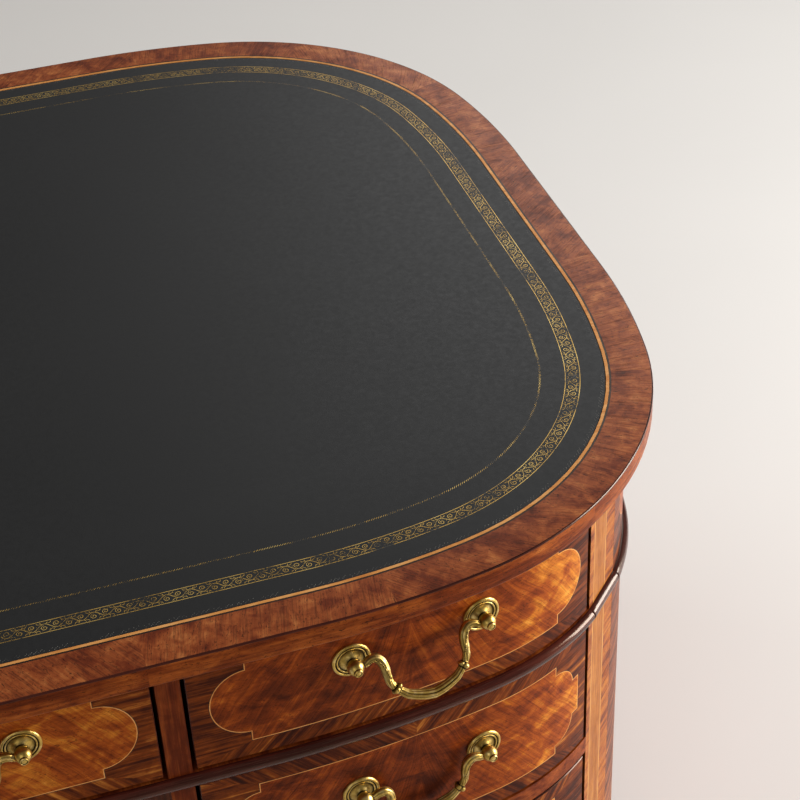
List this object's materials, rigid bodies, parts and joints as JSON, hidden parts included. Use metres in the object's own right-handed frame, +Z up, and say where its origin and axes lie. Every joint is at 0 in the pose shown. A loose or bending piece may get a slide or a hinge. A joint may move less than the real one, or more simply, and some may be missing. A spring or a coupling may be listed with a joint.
{
  "type": "oval executive desk",
  "caption": "Oval pedestal desk with a tooled leather writing top, canted pilasters, bent inlaid drawers that slide and brass bail pulls that swing.",
  "frame": {"origin": "on the floor, under the middle of the top", "axes": "+X along the desk to the right of someone facing its drawers, +Y from the drawers' side to the back, +Z up"},
  "size_m": [1.83, 1.0003, 0.775],
  "materials": {
    "crossband_veneer": "polished crotch mahogany, crossbanded",
    "core_board": "plain board",
    "string_inlay": "light string inlay, polished",
    "black_leather": "black hide, gold tooled",
    "mahogany_veneer": "polished mahogany veneer",
    "pilaster_veneer": "lighter straight-grained veneer, polished",
    "rail_veneer": "polished mahogany veneer",
    "dark_moulding": "dark stained solid mahogany, polished",
    "plinth_veneer": "polished mahogany veneer",
    "drawer_veneer": "flame mahogany, inlaid and crossbanded",
    "drawer_lining": "clear finished solid wood",
    "antique_brass": "antique brass, burnished high points"
  },
  "bodies": {
    "desk": {"top_crossband": "crossband_veneer", "top_panel": "core_board", "frieze_dust_board": "core_board", "pedestal_dust_boards": "core_board", "pedestal_bottoms": "core_board", "frieze_partitions": "core_board", "top_stringing": "string_inlay", "writing_leather": "black_leather", "frieze_end_right": "mahogany_veneer", "frieze_end_left": "mahogany_veneer", "frieze_back": "mahogany_veneer", "modesty_panel": "mahogany_veneer", "pedestal_inner_side_right": "mahogany_veneer", "pedestal_inner_side_left": "mahogany_veneer", "pedestal_end_right": "mahogany_veneer", "pedestal_end_left": "mahogany_veneer", "pedestal_back_right": "mahogany_veneer", "pedestal_back_left": "mahogany_veneer", "frieze_pilasters": "pilaster_veneer", "pedestal_pilasters_right": "pilaster_veneer", "pedestal_pilasters_left": "pilaster_veneer", "frieze_stiles": "rail_veneer", "pedestal_stiles": "rail_veneer", "pedestal_rails_right": "rail_veneer", "pedestal_rails_left": "rail_veneer", "waist_moulding": "dark_moulding", "base_mouldings": "dark_moulding", "plinth_right": "plinth_veneer", "plinth_left": "plinth_veneer", "drawer_runners": "drawer_lining", "drawer_kickers": "drawer_lining"},
    "frieze_right_drawer": {"frieze_right_front": "drawer_veneer", "frieze_right_box": "drawer_lining", "frieze_right_pull_posts": "antique_brass"},
    "frieze_right_handle": {"frieze_right_bail": "antique_brass"},
    "frieze_left_drawer": {"frieze_left_front": "drawer_veneer", "frieze_left_box": "drawer_lining", "frieze_left_pull_posts": "antique_brass"},
    "frieze_left_handle": {"frieze_left_bail": "antique_brass"},
    "frieze_centre_drawer": {"frieze_centre_front": "drawer_veneer", "frieze_centre_box": "drawer_lining", "frieze_centre_pull_posts": "antique_brass"},
    "frieze_centre_handle_1": {"frieze_centre_bail_1": "antique_brass"},
    "frieze_centre_handle_2": {"frieze_centre_bail_2": "antique_brass"},
    "upper_right_drawer": {"upper_right_front": "drawer_veneer", "upper_right_box": "drawer_lining", "upper_right_pull_posts": "antique_brass"},
    "upper_right_handle": {"upper_right_bail": "antique_brass"},
    "upper_left_drawer": {"upper_left_front": "drawer_veneer", "upper_left_box": "drawer_lining", "upper_left_pull_posts": "antique_brass"},
    "upper_left_handle": {"upper_left_bail": "antique_brass"},
    "deep_right_drawer": {"deep_right_front": "drawer_veneer", "deep_right_box": "drawer_lining", "deep_right_pull_posts": "antique_brass"},
    "deep_right_handle": {"deep_right_bail": "antique_brass"},
    "deep_left_drawer": {"deep_left_front": "drawer_veneer", "deep_left_box": "drawer_lining", "deep_left_pull_posts": "antique_brass"},
    "deep_left_handle": {"deep_left_bail": "antique_brass"}
  },
  "joints": [
    {"name": "frieze_right_slide", "type": "slide", "parent": "desk", "child": "frieze_right_drawer", "axis": [0, -1, 0], "range_m": [0, 0.38]},
    {"name": "frieze_right_bail_swing", "type": "hinge", "parent": "frieze_right_drawer", "child": "frieze_right_handle", "pos_m": [0.61386, -0.47549, 0.7035], "axis": [-0.9922, -0.1245, 0], "range_deg": [-30, 55]},
    {"name": "frieze_left_slide", "type": "slide", "parent": "desk", "child": "frieze_left_drawer", "axis": [0, -1, 0], "range_m": [0, 0.38]},
    {"name": "frieze_left_bail_swing", "type": "hinge", "parent": "frieze_left_drawer", "child": "frieze_left_handle", "pos_m": [-0.61386, -0.47549, 0.7035], "axis": [-0.9922, 0.1245, 0], "range_deg": [0, 85]},
    {"name": "frieze_centre_slide", "type": "slide", "parent": "desk", "child": "frieze_centre_drawer", "axis": [0, -1, 0], "range_m": [0, 0.38]},
    {"name": "frieze_centre_bail_swing_1", "type": "hinge", "parent": "frieze_centre_drawer", "child": "frieze_centre_handle_1", "pos_m": [-0.235, -0.4855, 0.7035], "axis": [-1, 0, 0], "range_deg": [0, 85]},
    {"name": "frieze_centre_bail_swing_2", "type": "hinge", "parent": "frieze_centre_drawer", "child": "frieze_centre_handle_2", "pos_m": [0.235, -0.4855, 0.7035], "axis": [-1, 0, 0], "range_deg": [0, 85]},
    {"name": "upper_right_slide", "type": "slide", "parent": "desk", "child": "upper_right_drawer", "axis": [0, -1, 0], "range_m": [0, 0.45]},
    {"name": "upper_right_bail_swing", "type": "hinge", "parent": "upper_right_drawer", "child": "upper_right_handle", "pos_m": [0.61386, -0.47549, 0.549], "axis": [-0.9922, -0.1245, 0], "range_deg": [0, 85]},
    {"name": "upper_left_slide", "type": "slide", "parent": "desk", "child": "upper_left_drawer", "axis": [0, -1, 0], "range_m": [0, 0.45]},
    {"name": "upper_left_bail_swing", "type": "hinge", "parent": "upper_left_drawer", "child": "upper_left_handle", "pos_m": [-0.61386, -0.47549, 0.549], "axis": [-0.9922, 0.1245, 0], "range_deg": [0, 85]},
    {"name": "deep_right_slide", "type": "slide", "parent": "desk", "child": "deep_right_drawer", "axis": [0, -1, 0], "range_m": [0, 0.45]},
    {"name": "deep_right_bail_swing", "type": "hinge", "parent": "deep_right_drawer", "child": "deep_right_handle", "pos_m": [0.61386, -0.47549, 0.312], "axis": [-0.9922, -0.1245, 0], "range_deg": [0, 85]},
    {"name": "deep_left_slide", "type": "slide", "parent": "desk", "child": "deep_left_drawer", "axis": [0, -1, 0], "range_m": [0, 0.45]},
    {"name": "deep_left_bail_swing", "type": "hinge", "parent": "deep_left_drawer", "child": "deep_left_handle", "pos_m": [-0.61386, -0.47549, 0.312], "axis": [-0.9922, 0.1245, 0], "range_deg": [0, 85]}
  ]
}
